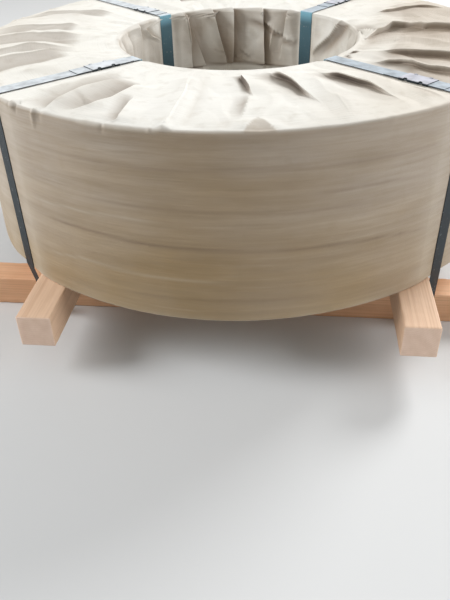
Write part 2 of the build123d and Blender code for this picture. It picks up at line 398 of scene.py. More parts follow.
def fold_height(folds, along, azimuth, scale):
    """What folds do at points: height, painted highlight on the crest, hollow depth for painted
    shade, painted shade of the gap and shift round the axis.
    """
    shape = np.broadcast(along, azimuth).shape
    raised, sunk, crest, gap, shift = (np.zeros(shape) for _ in range(5))
    for line, rise, style, side, grow, fade in folds:
        stops, azimuths = zip(*line)
        middle = np.interp(along, stops, azimuths)
        reach = fold_reach(line, grow, fade, along)
        across = side * np.radians(turn(azimuth, middle)) * scale - style.over * reach
        soft = np.clip(1 - across / style.soft, 0, 1) ** CURVE
        part = np.clip(-across / style.steep, 0, 1)
        fall = LIP_FALL * np.clip(part / LIP_PART, 0, 1) + (1 - LIP_FALL) * part
        wall = 1 - (1 + style.hollow) * fall
        pool = np.clip(1 + (across + style.steep) / style.pool, 0, 1)
        low = np.where(part < 1, wall, -style.hollow * pool**CURVE)
        value = rise * reach * np.where(across >= 0, soft, low)
        raised = np.maximum(raised, value)
        sunk = np.minimum(sunk, value)
        light = reach * min(1, 0.3 + 2 * style.gap)
        crest = np.maximum(crest, light * np.exp(-np.abs(across) / CREST_WIDTH))
        foot = np.exp(-np.maximum(-across - style.steep, 0) / FOOT_WIDTH)
        behind = np.where(part < 1, np.clip(part / 0.06, 0, 1), 0.7 * pool + 0.3 * foot)
        run = np.clip((along - stops[0]) / (stops[-1] - stops[0]), 0, 1)
        gap = np.maximum(gap, style.gap * behind * reach**0.5 * (1 - 0.3 * run))
        drag = np.exp(-((across / DRAG_WIDTH) ** 2))
        push = side * style.over * reach * np.where(across >= 0, drag, np.clip(1 - part, 0, 1))
        shift = np.where(np.abs(push) > np.abs(shift), -push, shift)
    return raised + sunk, crest, -sunk, gap, shift


# Short folds that hang over the outer rim: azimuth, half width in degrees, rise and length
RIM_FOLDS = [
    (-121.2, 0.42, 4.6, 30), (-126.9, 0.75, 4, 12), (-125.9, 0.25, -3, 14),
    (-128, 0.25, -2.5, 12), (-119.8, 0.4, -1.8, 20), (-106.9, 0.35, -2.2, 16),
    (-98.9, 0.3, 1.6, 10), (-88, 0.8, 0.8, 22), (-60, 0.7, 0.9, 24),
]
# Where a fold of the top lifts the rim: azimuth, half width in degrees and rise
RIM_PEAKS = [
    (-96.8, 1.5, 6.5), (-127.3, 1.2, 3), (-118.6, 1.6, 2), (-81.6, 3, -1.2),
    (61, 1.8, 4), (168, 1.4, 3.5), (8, 1.5, 3.5),
]


def seeded_rim_folds():
    """Rim folds on the sides that the photo doesn't show."""
    rng = np.random.default_rng(12)
    folds, azimuth = [], -35
    while azimuth < 226:
        folds.append((azimuth, rng.uniform(0.4, 0.9), rng.uniform(0.8, 3.2), rng.uniform(12, 34)))
        azimuth += rng.uniform(5, 13)
    return folds


RIM_FOLDS += seeded_rim_folds()


def rim_folds(azimuth, depth):
    """Folds that hang over the outer rim, by azimuth and depth below it."""
    total = np.zeros(np.broadcast(azimuth, depth).shape)
    for middle, width, rise, length in RIM_FOLDS:
        reach = np.clip(1 - depth / length, 0, 1) ** 0.7
        away = turn(azimuth, middle - 0.02 * depth) / width
        value = rise * reach * np.exp(-(away**2))
        total = np.where(np.abs(value) > np.abs(total), value, total)
    return total


# The radius where the relief of the rim is at its full height on the top
RIM_R = OUTER_R - 3.8
# On the right, beyond a ragged line of azimuths and radii, the top gets less painted light
RIGHT_SHADE_FROM = [
    (-42, 560), (-39, 402), (-30, 392), (-28.5, 334), (-24, 322), (-5, 328),
    (9, 346), (13, 352), (20, 376), (28, 404), (35, 400), (38, 560),
]


# Each surface gives its height over the plain section and its shading values
def top_surface(azimuth, r):
    x, y = (r * c for c in circle(azimuth))
    away = from_strap(azimuth, r)
    free = smooth(19, 60, away)
    part = (r - BORE_R) / (OUTER_R - BORE_R)
    dome = 6.6 * np.sin(np.pi * np.clip(part, 0, 1)) ** 0.7
    folds, crest, well, gap, shift = fold_height(TOP_RUNS + TOP_CREASES, r, azimuth, r)
    warp_u = 0.4 * cell_noise(x / 60, y / 60, 1, 61)
    warp_v = 0.5 * cell_noise(x / 70, y / 70, 5, 62)
    coarse = creased_noise(r / 84 + warp_u, azimuth / 6 + warp_v, 60, 63)
    fine = creased_noise(r / 38 + 2 * warp_u, azimuth / 3 + 2 * warp_v, 120, 64)
    facets = 3.6 * coarse + 1.5 * fine
    soft = 0.8 * layered_noise(x / 80, y / 80, 0, 5)
    inland = between(0, 0.06, 0.93, 1, part)
    height = (dome + folds + (soft + facets) * inland) * free
    peaks = sum(
        rise * np.clip(1 - np.abs(turn(azimuth, middle)) / half, 0, 1)
        for middle, half, rise in RIM_PEAKS
    )
    ripple = 1.1 * creased_ring(azimuth, 64, 65) * free
    height = height + (peaks + ripple) * smooth(RIM_R - 35, RIM_R, r)
    height = height + 0.6 * rim_folds(azimuth, 0) * smooth(RIM_R - 17, RIM_R, r)
    # The deepest hollows are made shallower, because the steel is right under them
    height = np.maximum(height, -1.2 + 0.2 * height)
    # A corner at the rim, in front, where the paper folds down, gets the side's brown in place of the
    # top's painted light
    corner = np.clip((r - RIM_R + 43) / 46, 0, 1)
    beside = np.abs(turn(azimuth, -81.8)) / (2.6 * corner + 0.01)
    corner = corner**0.4 * (1 - smooth(0.85, 1.1, beside))
    # Painted shade on the right, beyond that line
    right_shade = smooth(-5, 9, r - np.interp(turn(azimuth, 0), *zip(*RIGHT_SHADE_FROM)))
    # Painted light of the top, with painted shade where the facets stand high
    tone = 1 - 0.14 * smooth(-1.5, 4, facets) * inland
    return {
        "height": height,
        "tone": tone - 0.7 * corner - 0.42 * right_shade,
        "crest": crest * free,
        "well": well * free,
        "gap": gap * smooth(16, 26, away),
        "shift": shift * free,
    }


def bore_surface(azimuth, z):
    depth = WRAP_TOP - z
    free = smooth(17.5, 34, from_strap(azimuth, BORE_R))
    folds, crest, well, gap, shift = fold_height(BORE_RUNS + BORE_CREASES, depth, azimuth, BORE_R)
    x, y = circle(azimuth)
    warp = 0.5 * cell_noise(x * 3, y * 3, z / 60, 71)
    coarse = creased_noise(z / 70 + warp, azimuth / 9 + warp, 40, 72)
    fine = creased_noise(z / 30 + warp, azimuth / 4.5 - warp, 80, 73)
    facets = 3 * coarse + 1.3 * fine
    # The tucked end of the top fold lies in front of the plainer bottom one, down to here
    beyond = depth - 126 - 4 * cell_noise(x * 3, y * 3, 0, 8)
    lap = 1 - smooth(0, 3, beyond)
    # A painted shadow line under the tucked end's edge
    edge_shadow = 0.9 * np.exp(-((beyond - 2) ** 2) / 9)
    height = (folds + facets * smooth(0, 16, depth)) * (0.4 + 0.6 * lap) + 3.4 + 1.2 * lap
    # Painted shade on raised facets, in lobes and on the left, and darker painted shade deep down, in
    # lobes and on the left
    lobes = cell_noise(x * 5, y * 5, z / 50, 74) + 0.5 * cell_noise(x * 11, y * 11, z / 30, 75)
    left = between(138, 152, 205, 225, azimuth)
    shade = 0.26 * smooth(-2.5, 2.5, facets) + 0.26 * smooth(-0.6, 0.8, lobes) + 0.2 * left
    deep_shade = 0.08 * smooth(40, 125, depth) + 0.16 * smooth(0.1, 0.9, lobes) + 0.12 * left
    # The lining takes most of the top's painted light, less where the painted shade falls
    return {
        "height": np.maximum(height, -0.8) * free - 1.3 * (1 - free),
        "tone": 0.92 - lap * shade,
        "crest": crest * free * lap,
        "well": well * free * lap,
        "gap": np.maximum(np.maximum(gap, deep_shade) * lap, edge_shadow) * free,
        "shift": shift * free * lap,
    }


# Edges of the wound paper that show on the side: points of azimuth and depth below the rim,
# step (out where it is positive) and the painted light of the line, painted shade where it is
# negative
SIDE_EDGES = [
    ([(-126, 193.5), (-119.2, 192.7), (-110.4, 192.5), (-102.5, 196.6), (-78, 200)], 0.6, -0.6),
    ([(-128, 270), (-125.3, 268.8), (-115.6, 255), (-97.1, 259.5), (-84, 262)], 0.5, 0.35),
    ([(-129, 166), (-118.9, 160.2), (-109.8, 155.6), (-96, 154)], 0.3, 0.4),
    ([(-76, 109), (-64.8, 103.5), (-53.6, 109.7), (-49, 112)], 0.4, -0.4),
    ([(-84, 199.6), (-69.4, 201.6), (-59.6, 206.8), (-47.2, 219.5)], 0.5, -0.5),
    ([(-122, 60), (-104, 64), (-86, 58), (-60, 63), (-44, 60)], 0.3, -0.3),
    ([(-118, 132), (-96, 128), (-72, 133), (-50, 141)], 0.3, -0.25),
    ([(-112, 300), (-90, 296), (-66, 301)], 0.3, -0.25),
    ([(-20, 150), (20, 162), (60, 158), (96, 166)], 0.5, -0.4),
    ([(80, 240), (120, 232), (150, 236), (200, 246)], 0.5, -0.4),
    ([(150, 90), (190, 98), (215, 96)], 0.4, 0.4),
]


def side_edges(azimuth, depth):
    """Height and painted light and shade of the paper edges on the side."""
    height, tone = (np.zeros(np.broadcast(azimuth, depth).shape) for _ in range(2))
    for line, step, colour in SIDE_EDGES:
        stops, depths = zip(*line)
        middle = (stops[0] + stops[-1]) / 2
        place = turn(azimuth, middle) + middle
        below = depth - np.interp(place, stops, depths)
        ends = fold_reach(line, 8, 8, place)
        height += step * ends * np.clip(1 + below / 40, 0, 1) * (below < 0)
        tone += colour * ends * np.exp(-((below / 2.6) ** 2))
    return height, tone


def side_surface(azimuth, z):
    depth, above_bottom = WRAP_TOP - z, z - WRAP_BOTTOM
    x, y = circle(azimuth)
    away = from_strap(azimuth, OUTER_R)
    free = smooth(17, 60, away)
    # The straps bite in, so the paper runs flat from them to a crease
    dent = np.interp(away, [16, 58, 86, 170], [0, 2.8, 2.5, 0.4])
    slack = layered_noise(x * 5, y * 5, z / 160, 31)
    ragged = 0.8 + 1.3 * creased_ring(azimuth, 70, 33)
    near_rims = ragged * np.exp(-depth / 24) + 0.8 * np.exp(-above_bottom / 26)
    loose = 0.6 * slack + np.clip(near_rims, -0.4, 4) + rim_folds(azimuth, depth)
    crepe = 0.14 * cell_noise(x * 9, y * 9, z / 9, 35) + 0.2 * cell_noise(x * 7, y * 7, z / 21, 36)
    edge_height, edge_light_and_shade = side_edges(azimuth, depth)
    # A hem of the top fold, narrow and loose, in front
    hem = between(-112.5, -110, -98.5, -97, azimuth) * (depth < 8)
    # Painted highlights at the edges and the hem and along the creases beside the straps; lighter
    # along the bottom rim
    bottom_rim_lighter = 0.45 + 0.45 * creased_ring(azimuth, 90, 37)
    light = np.clip(edge_light_and_shade, 0, 1) + 0.5 * hem + bottom_rim_lighter * np.exp(-above_bottom / 5)
    light = light + 0.26 * np.exp(-(((away - 48) / 24) ** 2))
    return {
        "height": dent + loose * free + crepe + edge_height + 0.9 * hem,
        "crest": light,
        # Painted shade of the darker edge lines
        "gap": np.clip(-edge_light_and_shade, 0, 1),
    }


def bottom_surface(azimuth, r):
    x, y = (r * c for c in circle(azimuth))
    from_bearer = np.minimum(np.abs(x - LEFT_X), np.abs(x - RIGHT_X)) - BEARER / 2
    free = smooth(0, 40, from_bearer) * smooth(18, 60, from_strap(azimuth, r))
    part = (r - BORE_R) / (OUTER_R - BORE_R)
    # The folds of the top, mirrored at half height
    mirrored = [
        ([(a, -(b + 11)) for a, b in line], rise * 0.5, style, -side, grow, fade)
        for line, rise, style, side, grow, fade in TOP_RUNS
    ]
    folds, crest, well, gap, _ = fold_height(mirrored, r, azimuth, r)
    dome = 2 * np.sin(np.pi * np.clip(part, 0, 1)) ** 0.8
    soft = 0.6 * layered_noise(x / 70, y / 70, 9, 51)
    return {
        "height": np.maximum(dome + folds + soft, -0.5) * free,
        # The underside gets half of the top's painted light
        "tone": 0.5,
        "crest": crest * free,
        "well": well * free,
        "gap": gap * free,
    }


# Depth of a hollow that is shaded in full
SHADED_DEPTH = 6


def wrap_shape(azimuth, s):
    """Points of the wrap and its shading values at azimuths (column) and arc lengths (row)."""
    r, z, nr, nz = section(s)
    # Each surface takes over from the one before it across the bend between them
    reach = ARC / 2 + 1
    bends = [end - ARC / 2 for end in (AT_TOP, AT_SIDE, AT_BOTTOM, ROUND)]
    to_top, to_side, to_bottom, to_bore = (smooth(b - reach, b + reach, s) for b in bends)
    surfaces = [
        (to_top * (1 - to_side), top_surface(azimuth, r)),
        (1 - to_top + to_bore, bore_surface(azimuth, z)),
        (to_side * (1 - to_bottom), side_surface(azimuth, z)),
        (to_bottom * (1 - to_bore), bottom_surface(azimuth, r)),
    ]

    def blend(key):
        return sum(share * surface.get(key, 0) for share, surface in surfaces)

    height = blend("height")
    radius, up = r + nr * height, z + nz * height
    angle = np.radians(azimuth) + blend("shift") / r
    points = np.stack([radius * np.cos(angle), radius * np.sin(angle), up], axis=-1)
    values = {key: blend(key) for key in ("tone", "crest", "gap")}
    values["well"] = blend("well") / SHADED_DEPTH
    values["run"] = np.broadcast_to(s * MM, height.shape)
    return points, values


def wrap_piece(name, stops, mat, runs=None, along=None, reach=None):
    """A ring of the wrap between its first and last arc length; its grid may follow runs."""
    azimuth = np.arange(AROUND) * 360 / AROUND
    scale = section(stops)[0]
    azimuth = follow(runs, azimuth, along, reach, scale) if runs else azimuth[:, None]
    points, values = wrap_shape(turn(azimuth, 60) + 60, stops[None, :])
    faces = grid_faces(numbered(points), close_rows=True, close_columns=False)
    mesh_object(name, points, faces, "paper_wrap", mat, values=values)


# How far the top and the bottom reach past their bends, onto the side and into the bore
LIP = 0.8


def end_stops(start, cells):
    """Arc lengths over one end of the wrap, whose flat run starts at the given one."""
    last = start + WIDE
    bend_in, bend_out = steps(start - ARC, start, 4), steps(last, last + ARC, 4)[1:]
    flat = steps(start, last, cells)[1:]
    return np.concatenate([[start - ARC - LIP], bend_in, flat, bend_out, [last + ARC + LIP]])


def make_wrap(mat):
    top = end_stops(AT_TOP, 59)
    radius = section(top)[0]
    reach = between(BORE_R + 3, BORE_R + 12, OUTER_R - 14, OUTER_R - 4, radius)
    wrap_piece("wrap_top", top, mat, TOP_RUNS, radius, reach)
    wrap_piece("wrap_side", steps(AT_SIDE + LIP, AT_SIDE + LONG - LIP, 69), mat)
    wrap_piece("wrap_bottom", end_stops(AT_BOTTOM, 34), mat)
    bore = steps(AT_BORE + LIP, LONG - LIP, 69)
    depth = WRAP_TOP - section(bore)[1]
    reach = between(3, 14, 230, 300, depth)
    wrap_piece("wrap_bore", bore, mat, BORE_RUNS, depth, reach)


# Materials
class Nodes:
    """Short names for making and joining the shader nodes of a new material or world."""

    def __init__(self, name, kind="materials"):
        self.owner = getattr(bpy.data, kind).new(name)
        self.owner.use_nodes = True
        self.tree = self.owner.node_tree

    def join(self, value, socket):
        if isinstance(value, bpy.types.NodeSocket):
            self.tree.links.new(value, socket)
        elif isinstance(value, tuple) and len(socket.default_value) == 4:
            socket.default_value = (*value, 1)
        else:
            socket.default_value = value

    def fill(self, node, inputs):
        for key, value in inputs.items():
            self.join(value, node.inputs[key.replace("_", " ")])
        return node

    def node(self, kind, **inputs):
        return self.fill(self.tree.nodes.new("ShaderNode" + kind), inputs)

    def attribute(self, name):
        made = self.node("Attribute")
        made.attribute_name = name
        return made.outputs["Fac"]

    def math(self, kind, a, b=0, clamp=False):
        made = self.node("Math")
        made.operation, made.use_clamp = kind, clamp
        self.join(a, made.inputs[0])
        self.join(b, made.inputs[1])
        return made.outputs[0]

    def plus(self, a, b):
        return self.math("ADD", a, b)

    def times(self, a, b):
        return self.math("MULTIPLY", a, b)

    def coordinates(self):
        return self.node("TexCoord").outputs["Object"]

    def parts(self, vector):
        split = self.node("SeparateXYZ", Vector=vector)
        return split.outputs["X"], split.outputs["Y"], split.outputs["Z"]

    def normal(self):
        """The three parts of the surface's direction."""
        return self.parts(self.node("NewGeometry").outputs["Normal"])

    def distance(self, a, b):
        """Distance from an axis, from the two coordinates across it."""
        return self.math("SQRT", self.plus(self.times(a, a), self.times(b, b)))

    def place(self, scale, vector=None, move=(0, 0, 0)):
        """Coordinates stretched by scale and moved."""
        made = self.node("Mapping", Vector=vector or self.coordinates())
        made.inputs["Scale"].default_value = scale
        made.inputs["Location"].default_value = move
        return made.outputs[0]

    def noise(self, vector, scale=1, detail=3, rough=0.5):
        made = self.node("TexNoise", Vector=vector, Scale=scale, Detail=detail, Roughness=rough)
        return made.outputs["Fac"]

    def ramp(self, value, *stops):
        """Colours or numbers at places from 0 to 1."""
        made = self.node("ValToRGB", Fac=value)
        points = made.color_ramp.elements
        while len(points) < len(stops):
            points.new(0.5)
        for point, (place, colour) in zip(points, stops):
            point.position = place
            point.color = (*(colour if isinstance(colour, tuple) else (colour,) * 3), 1)
        return made.outputs["Color"]

    def mix(self, factor, a, b):
        made = self.node("Mix")
        made.data_type = "RGBA"
        self.join(factor, made.inputs[0])
        self.join(a, made.inputs[6])
        self.join(b, made.inputs[7])
        return made.outputs[2]

    def tint(self, colour, shade, value, *stops):
        """A colour turned towards a shade by a ramp of a value."""
        return self.mix(self.ramp(value, *stops), colour, shade)

    def bump(self, height, distance, strength):
        made = self.node("Bump", Height=height, Distance=distance, Strength=strength)
        return made.outputs["Normal"]

    def finish(self, **inputs):
        """The material, its shader filled in."""
        self.fill(self.tree.nodes["Principled BSDF"], inputs)
        return self.owner


def rgb(*display):
    """Linear values of a colour written as display values from 11 to 255."""
    return tuple(((v / 255 + 0.055) / 1.055) ** 2.4 for v in display)


def paper_material():
    """Creped kraft paper, brown on the side; its top is painted pale as painted light."""
    n = Nodes("crepe_paper")
    x, y, z = n.parts(n.coordinates())
    # The crepe's bands run round the coil, along its section as measured by the run
    flat = n.node("CombineXYZ", X=x, Y=y, Z=n.attribute("run")).outputs[0]
    patch = n.noise(n.place((6, 6, 15), flat))
    wide = n.noise(n.place((5, 5, 46), flat), rough=0.6)
    narrow = n.noise(n.place((7, 7, 140), flat), rough=0.6)
    fine = n.noise(n.place((14, 14, 420), flat), detail=4, rough=0.6)
    blotch = n.noise(n.coordinates(), 5, 4)
    speckle = n.noise(n.coordinates(), 38)

    # Kraft brown on the side, mottled pinkish and olive; painted light makes it paler and pinker
    # towards the top, left and right, painted shade darker and more olive low in the middle
    pinkish = n.ramp(wide, (0.3, rgb(160, 146, 130)), (0.7, rgb(174, 161, 146)))
    olive = n.ramp(wide, (0.3, rgb(151, 127, 91)), (0.7, rgb(165, 141, 105)))
    side_light_and_mottle = n.plus(n.plus(z, n.times(n.math("ABSOLUTE", x), 0.55)), n.times(patch, 0.3))
    side = n.tint(pinkish, olive, side_light_and_mottle, (0.4, 1), (0.72, 0))
    side = n.tint(side, rgb(138, 120, 92), narrow, (0.45, 0), (0.75, 0.4))
    side = n.tint(side, rgb(190, 174, 150), narrow, (0.2, 0.3), (0.42, 0))
    side = n.tint(side, rgb(176, 160, 142), blotch, (0.4, 0), (0.75, 0.35))

    # Painted light makes the top pale; far to the left and right it is less, as painted shade
    top = n.ramp(blotch, (0.3, rgb(237, 235, 229)), (0.7, rgb(230, 227, 219)))
    place = n.plus(n.times(x, 0.9), n.plus(n.times(blotch, 0.2), 0.4))
    far_side_shade = (0, 0.5), (0.12, 0.12), (0.28, 0), (0.62, 0), (0.88, 1)
    top = n.tint(top, rgb(208, 199, 185), place, *far_side_shade)
    top = n.mix(n.times(fine, 0.22), top, rgb(190, 178, 155))

    # Painted light from the mesh: the pale top over the brown side, painted highlights on crests,
    # painted shade in hollows and gaps
    colour = n.mix(n.attribute("tone"), side, top)
    colour = n.tint(colour, rgb(150, 132, 104), speckle, (0.55, 0), (0.8, 0.25))
    for name, strength, shade in (
        ("crest", 0.35, rgb(238, 232, 220)),
        ("well", 0.6, rgb(158, 137, 113)),
        ("gap", 0.85, rgb(114, 94, 76)),
    ):
        amount = n.math("MULTIPLY", n.attribute(name), strength, clamp=True)
        colour = n.mix(amount, colour, shade)
    # The darkest painted shade, deep in the gaps
    colour = n.tint(colour, rgb(58, 47, 40), n.attribute("gap"), (0.6, 0), (1, 0.75))
    height = n.plus(n.times(narrow, 0.6), fine)
    return n.finish(Base_Color=colour, Roughness=0.7, Normal=n.bump(height, 0.0011, 0.6))


def timber_material(name, along, offset, hues):
    """Sawn softwood whose grain runs along one axis: 0 is X and 1 is Y."""
    n = Nodes(name)
    stretch, fibre_stretch = [1] * 3, [260] * 3
    stretch[along], fibre_stretch[along] = 0.06, 5
    heart = n.place(stretch, move=offset)
    parts = n.parts(heart)
    warp = n.times(n.noise(heart, 9, 2), 0.02)
    radius = n.plus(n.distance(parts[1 - along], parts[2]), warp)
    wave = n.math("SINE", n.times(radius, 1500))
    rings = n.math("POWER", n.plus(n.times(wave, 0.5), 0.5), 1.6)
    fibre = n.noise(n.place(fibre_stretch), rough=0.65)
    blotch = n.noise(n.coordinates(), 9)
    pale, mid, warm = hues
    sawn = n.mix(n.times(rings, 0.22), n.ramp(blotch, (0.3, mid), (0.7, pale)), warm)
    sawn = n.tint(sawn, rgb(172, 128, 96), fibre, (0.45, 0), (0.8, 0.4))
    # The cut ends are plainer and pinker
    mottle = n.noise(n.coordinates(), 60, 4)
    end = n.ramp(mottle, (0.3, rgb(228, 198, 176)), (0.7, rgb(238, 210, 190)))
    end = n.mix(n.times(rings, 0.12), end, rgb(206, 160, 132))
    facing = n.math("ABSOLUTE", n.normal()[along])
    colour = n.tint(sawn, end, facing, (0.5, 0), (0.8, 1))
    height = n.plus(n.times(rings, -0.25), fibre)
    return n.finish(Base_Color=colour, Roughness=0.7, Normal=n.bump(height, 0.0008, 0.5))


def strap_material(name, dust_and_sheen_share, dust_and_sheen_colour):
    """Dark blue-green painted steel band, pale where it faces up with dust and painted sky sheen,
    given painted light in the bore.
    """
    n = Nodes(name)
    x, y, z = n.parts(n.coordinates())
    patches = n.noise(n.coordinates(), 60, 4)
    scratches = n.noise(n.coordinates(), 240, 2)
    paint = n.tint(rgb(20, 28, 32), rgb(32, 43, 48), patches, (0.4, 0), (0.75, 1))
    # In the bore it gets painted light, and a painted highlight close below the rim
    bore, rim = BORE_R * MM, WRAP_TOP * MM
    bore_light = n.ramp(z, (rim - 0.1666, rgb(46, 62, 68)), (rim - 0.0266, rgb(74, 104, 114)))
    bore_light = n.tint(bore_light, rgb(126, 176, 194), z, (rim - 0.0236, 0), (rim - 0.0036, 1))
    in_bore = n.ramp(n.distance(x, y), (bore + 0.0023, 1), (bore + 0.0103, 0))
    paint = n.mix(in_bore, paint, bore_light)
    paint = n.tint(paint, rgb(120, 128, 130), scratches, (0.68, 0), (0.74, 1))
    # The dust and painted sheen are whiter on the straps on the left, as painted light
    dust_and_sheen_colour = n.tint(dust_and_sheen_colour, rgb(230, 234, 236), n.plus(x, 0.5), (0.4, 0.8), (0.6, 0))
    # Upward faces take the pale colour: dust and painted sky sheen
    facing_up = n.ramp(n.normal()[2], (0.5, 0), (0.9, 1))
    dust_and_sheen = n.times(facing_up, n.ramp(patches, (0.25, 0.6), (0.6, 1)))
    return n.finish(
        Base_Color=n.mix(n.times(dust_and_sheen, dust_and_sheen_share), paint, dust_and_sheen_colour),
        Roughness=n.ramp(patches, (0.3, 0.42), (0.7, 0.56)),
        Specular_IOR_Level=0.25,
        Normal=n.bump(patches, 0.0006, 0.25),
    )


def steel_material():
    """The strip's edges, seen only where the wrap is left out."""
    n = Nodes("brushed_steel")
    x, y, _ = n.parts(n.coordinates())
    radius = n.node("CombineXYZ", X=n.distance(x, y)).outputs[0]
    turns = n.noise(radius, 900, 2)
    colour = n.mix(turns, rgb(150, 152, 154), rgb(190, 192, 194))
    normal = n.bump(turns, 0.0006, 0.4)
    return n.finish(Base_Color=colour, Metallic=1, Roughness=0.34, Normal=normal)


# Timber
# Rings that close a bearer's cut end: their size against its outline, and how far out they lie
END_RINGS = ((0.97, 0.8), (0.9, 1), (0.6, 1), (0.3, 1))


def end_rings(rim, along, outward):
    """Rings that shrink from a bearer's last one to the middle of its cut end."""
    centre = rim.mean(axis=0)
    size, push = np.array(END_RINGS).T[:, :, None]
    rings = centre + (rim - centre) * size[:, :, None]
    rings[:, :, along] = centre[along] + outward * push
    return rings


def bearer(name, along, mat, seed):
    """A sawn bearer with worn arrises; along is 0 for X and 1 for Y."""
    low, high = corners(name)
    middle = (low + high) / 2
    half, arris_r, worn_width = BEARER / 2, 2.2, 6
    outline = np.array(rounded_box(half, half, arris_r, 11, 11))
    reach = BEARER_LENGTH / 2 - END_RINGS[-1][1]
    t = steps(-reach, reach, 200)[:, None]
    a, b = outline.T[:, None, :]
    near_edge = sum(np.minimum(half - np.abs(c), worn_width) for c in (a, b))
    bottom_rim_lighter = np.clip(1 - near_edge / worn_width, 0, 1)
    dents = np.clip(cell_noise(t / 16, a / 9, b / 9 + seed, seed) - 0.25, 0, 1) * 2.2 * bottom_rim_lighter
    saw = 0.18 * cell_noise(t / 5, a / 20, b / 20, seed + 1)
    pull = 1 - (dents + np.abs(saw) * (1 - bottom_rim_lighter)) / half
    place = np.zeros((*pull.shape, 3))
    x, y, z = parts = np.moveaxis(place, 2, 0)
    parts[along] = middle[along] + t
    parts[1 - along] = middle[1 - along] + a * pull
    parts[2] = middle[2] + b * pull
    if low[2] < 1:
        # This one stands on the floor, and the straps are pressed into its underside
        away = from_strap(np.degrees(np.arctan2(y, x)), np.hypot(x, y))
        z += (1 - smooth(16.4, 17.4, away)) * np.clip(1.35 - z, 0, 2)
    near_end, far_end = end_rings(place[0], along, -1), end_rings(place[-1], along, 1)
    points = np.concatenate([near_end[::-1], place, far_end])
    index = numbered(points)
    faces = grid_faces(index) + end_faces(index)
    if along == 1:
        # Seen along Y, the outline runs the other way round
        faces = [face[::-1] for face in faces]
    mesh_object("timber_" + name, points, faces, name, mat)


def make_timber():
    """Upper bearers paler, lower ones warmer; each cut from its own place in a log."""
    upper_hues = rgb(232, 200, 172), rgb(222, 188, 158), rgb(200, 152, 116)
    lower_hues = rgb(234, 190, 152), rgb(224, 172, 132), rgb(198, 140, 98)
    specs = {
        "upper_bearer_left": (1, (0.31, 0, 0.05), upper_hues),
        "upper_bearer_right": (1, (-0.33, 0, -0.16), upper_hues),
        "lower_bearer_front": (0, (0, 0.30, 0.02), lower_hues),
        "lower_bearer_back": (0, (0, -0.36, -0.02), lower_hues),
    }
    for seed, (name, (along, offset, hues)) in enumerate(specs.items(), start=70):
        bearer(name, along, timber_material("wood_" + name, along, offset, hues), seed)


# Straps and seals
def strap_ends_under(azimuth):
    """Radii between which a strap lies under the lower bearer that it crosses."""
    along_x, along_y = (abs(c) for c in circle(azimuth))
    half, gap, least_slant = STRAP_WIDTH / 2, 3, 2
    outside = (LOWER_Y + BEARER / 2 + gap + half * along_x) / along_y
    inside = (LOWER_Y - BEARER / 2 - gap - half * along_x) / along_y
    # It comes down outside the upper bearer too, where that is in its way
    upper_x = RIGHT_X if circle(azimuth)[0] > 0 else -LEFT_X
    beside = (upper_x + BEARER / 2 + gap + half * along_y) / along_x
    if OUTER_R * along_x > upper_x:
        outside = max(outside, min(beside, OUTER_R - least_slant))
    return inside, outside


def rounded_route(points, radii, step):
    """Closed polyline with its corners rounded and its runs divided."""
    points = np.array(points, float)
    ahead, behind = np.roll(points, -1, axis=0), np.roll(points, 1, axis=0)
    arcs = []
    for before, here, after, radius in zip(behind, points, ahead, radii):
        u = (before - here) / np.linalg.norm(before - here)
        v = (after - here) / np.linalg.norm(after - here)
        half_angle = math.acos(np.dot(u, v)) / 2
        back = radius / math.tan(half_angle)
        centre = here + (u + v) / np.linalg.norm(u + v) * radius / math.sin(half_angle)
        start = math.atan2(*(here + u * back - centre)[::-1])
        end = math.atan2(*(here + v * back - centre)[::-1])
        sweep = (end - start + math.pi) % (2 * math.pi) - math.pi
        turns = steps(start, start + sweep, max(4, int(abs(sweep) / 0.25)))
        arcs.append(centre + radius * np.stack([np.cos(turns), np.sin(turns)], axis=1))
    route = []
    for arc, following in zip(arcs, arcs[1:] + arcs[:1]):
        start, end = arc[-1], following[0]
        runs = max(1, int(np.linalg.norm(end - start) / step))
        route += list(arc) + [start + (end - start) * k / runs for k in range(1, runs)]
    return np.array(route)


def beside_plane(azimuth, radius, across, height):
    """Points at radii and heights in a strap's upright plane, moved across it."""
    radius, across, height = np.broadcast_arrays(radius, across, height)
    u, v = circle(azimuth)
    return np.stack([radius * u + across * v, radius * v - across * u, height], axis=-1)


def ribbon(name, route, azimuth, mat, replaced, closed=True):
    """A flat band along a route of (radius, height) points in a vertical plane."""
    if closed:
        tangent = np.roll(route, -1, axis=0) - np.roll(route, 1, axis=0)
    else:
        tangent = np.gradient(route, axis=0)
    tangent /= np.linalg.norm(tangent, axis=1)[:, None]
    outward = np.stack([-tangent[:, 1], tangent[:, 0]], axis=1)
    half, bevel, thick = STRAP_WIDTH / 2, 0.22, STRAP_THICK
    under = [(w, 0) for w in (-half + bevel, -half / 2, 0, half / 2, half - bevel)]
    outline = under + [(half, bevel), (half, thick - bevel)]
    outline += [(-w, thick) for w, _ in under] + [(-half, thick - bevel), (-half, bevel)]
    across, lift = np.array(outline).T
    radius, height = (route[:, k, None] + outward[:, k, None] * lift for k in (0, 1))
    points = beside_plane(azimuth, radius, across, height)
    index = numbered(points)
    faces = grid_faces(index, close_rows=closed) + ([] if closed else end_faces(index))
    mesh_object(name, points, faces, replaced, mat, smooth_shade=False)


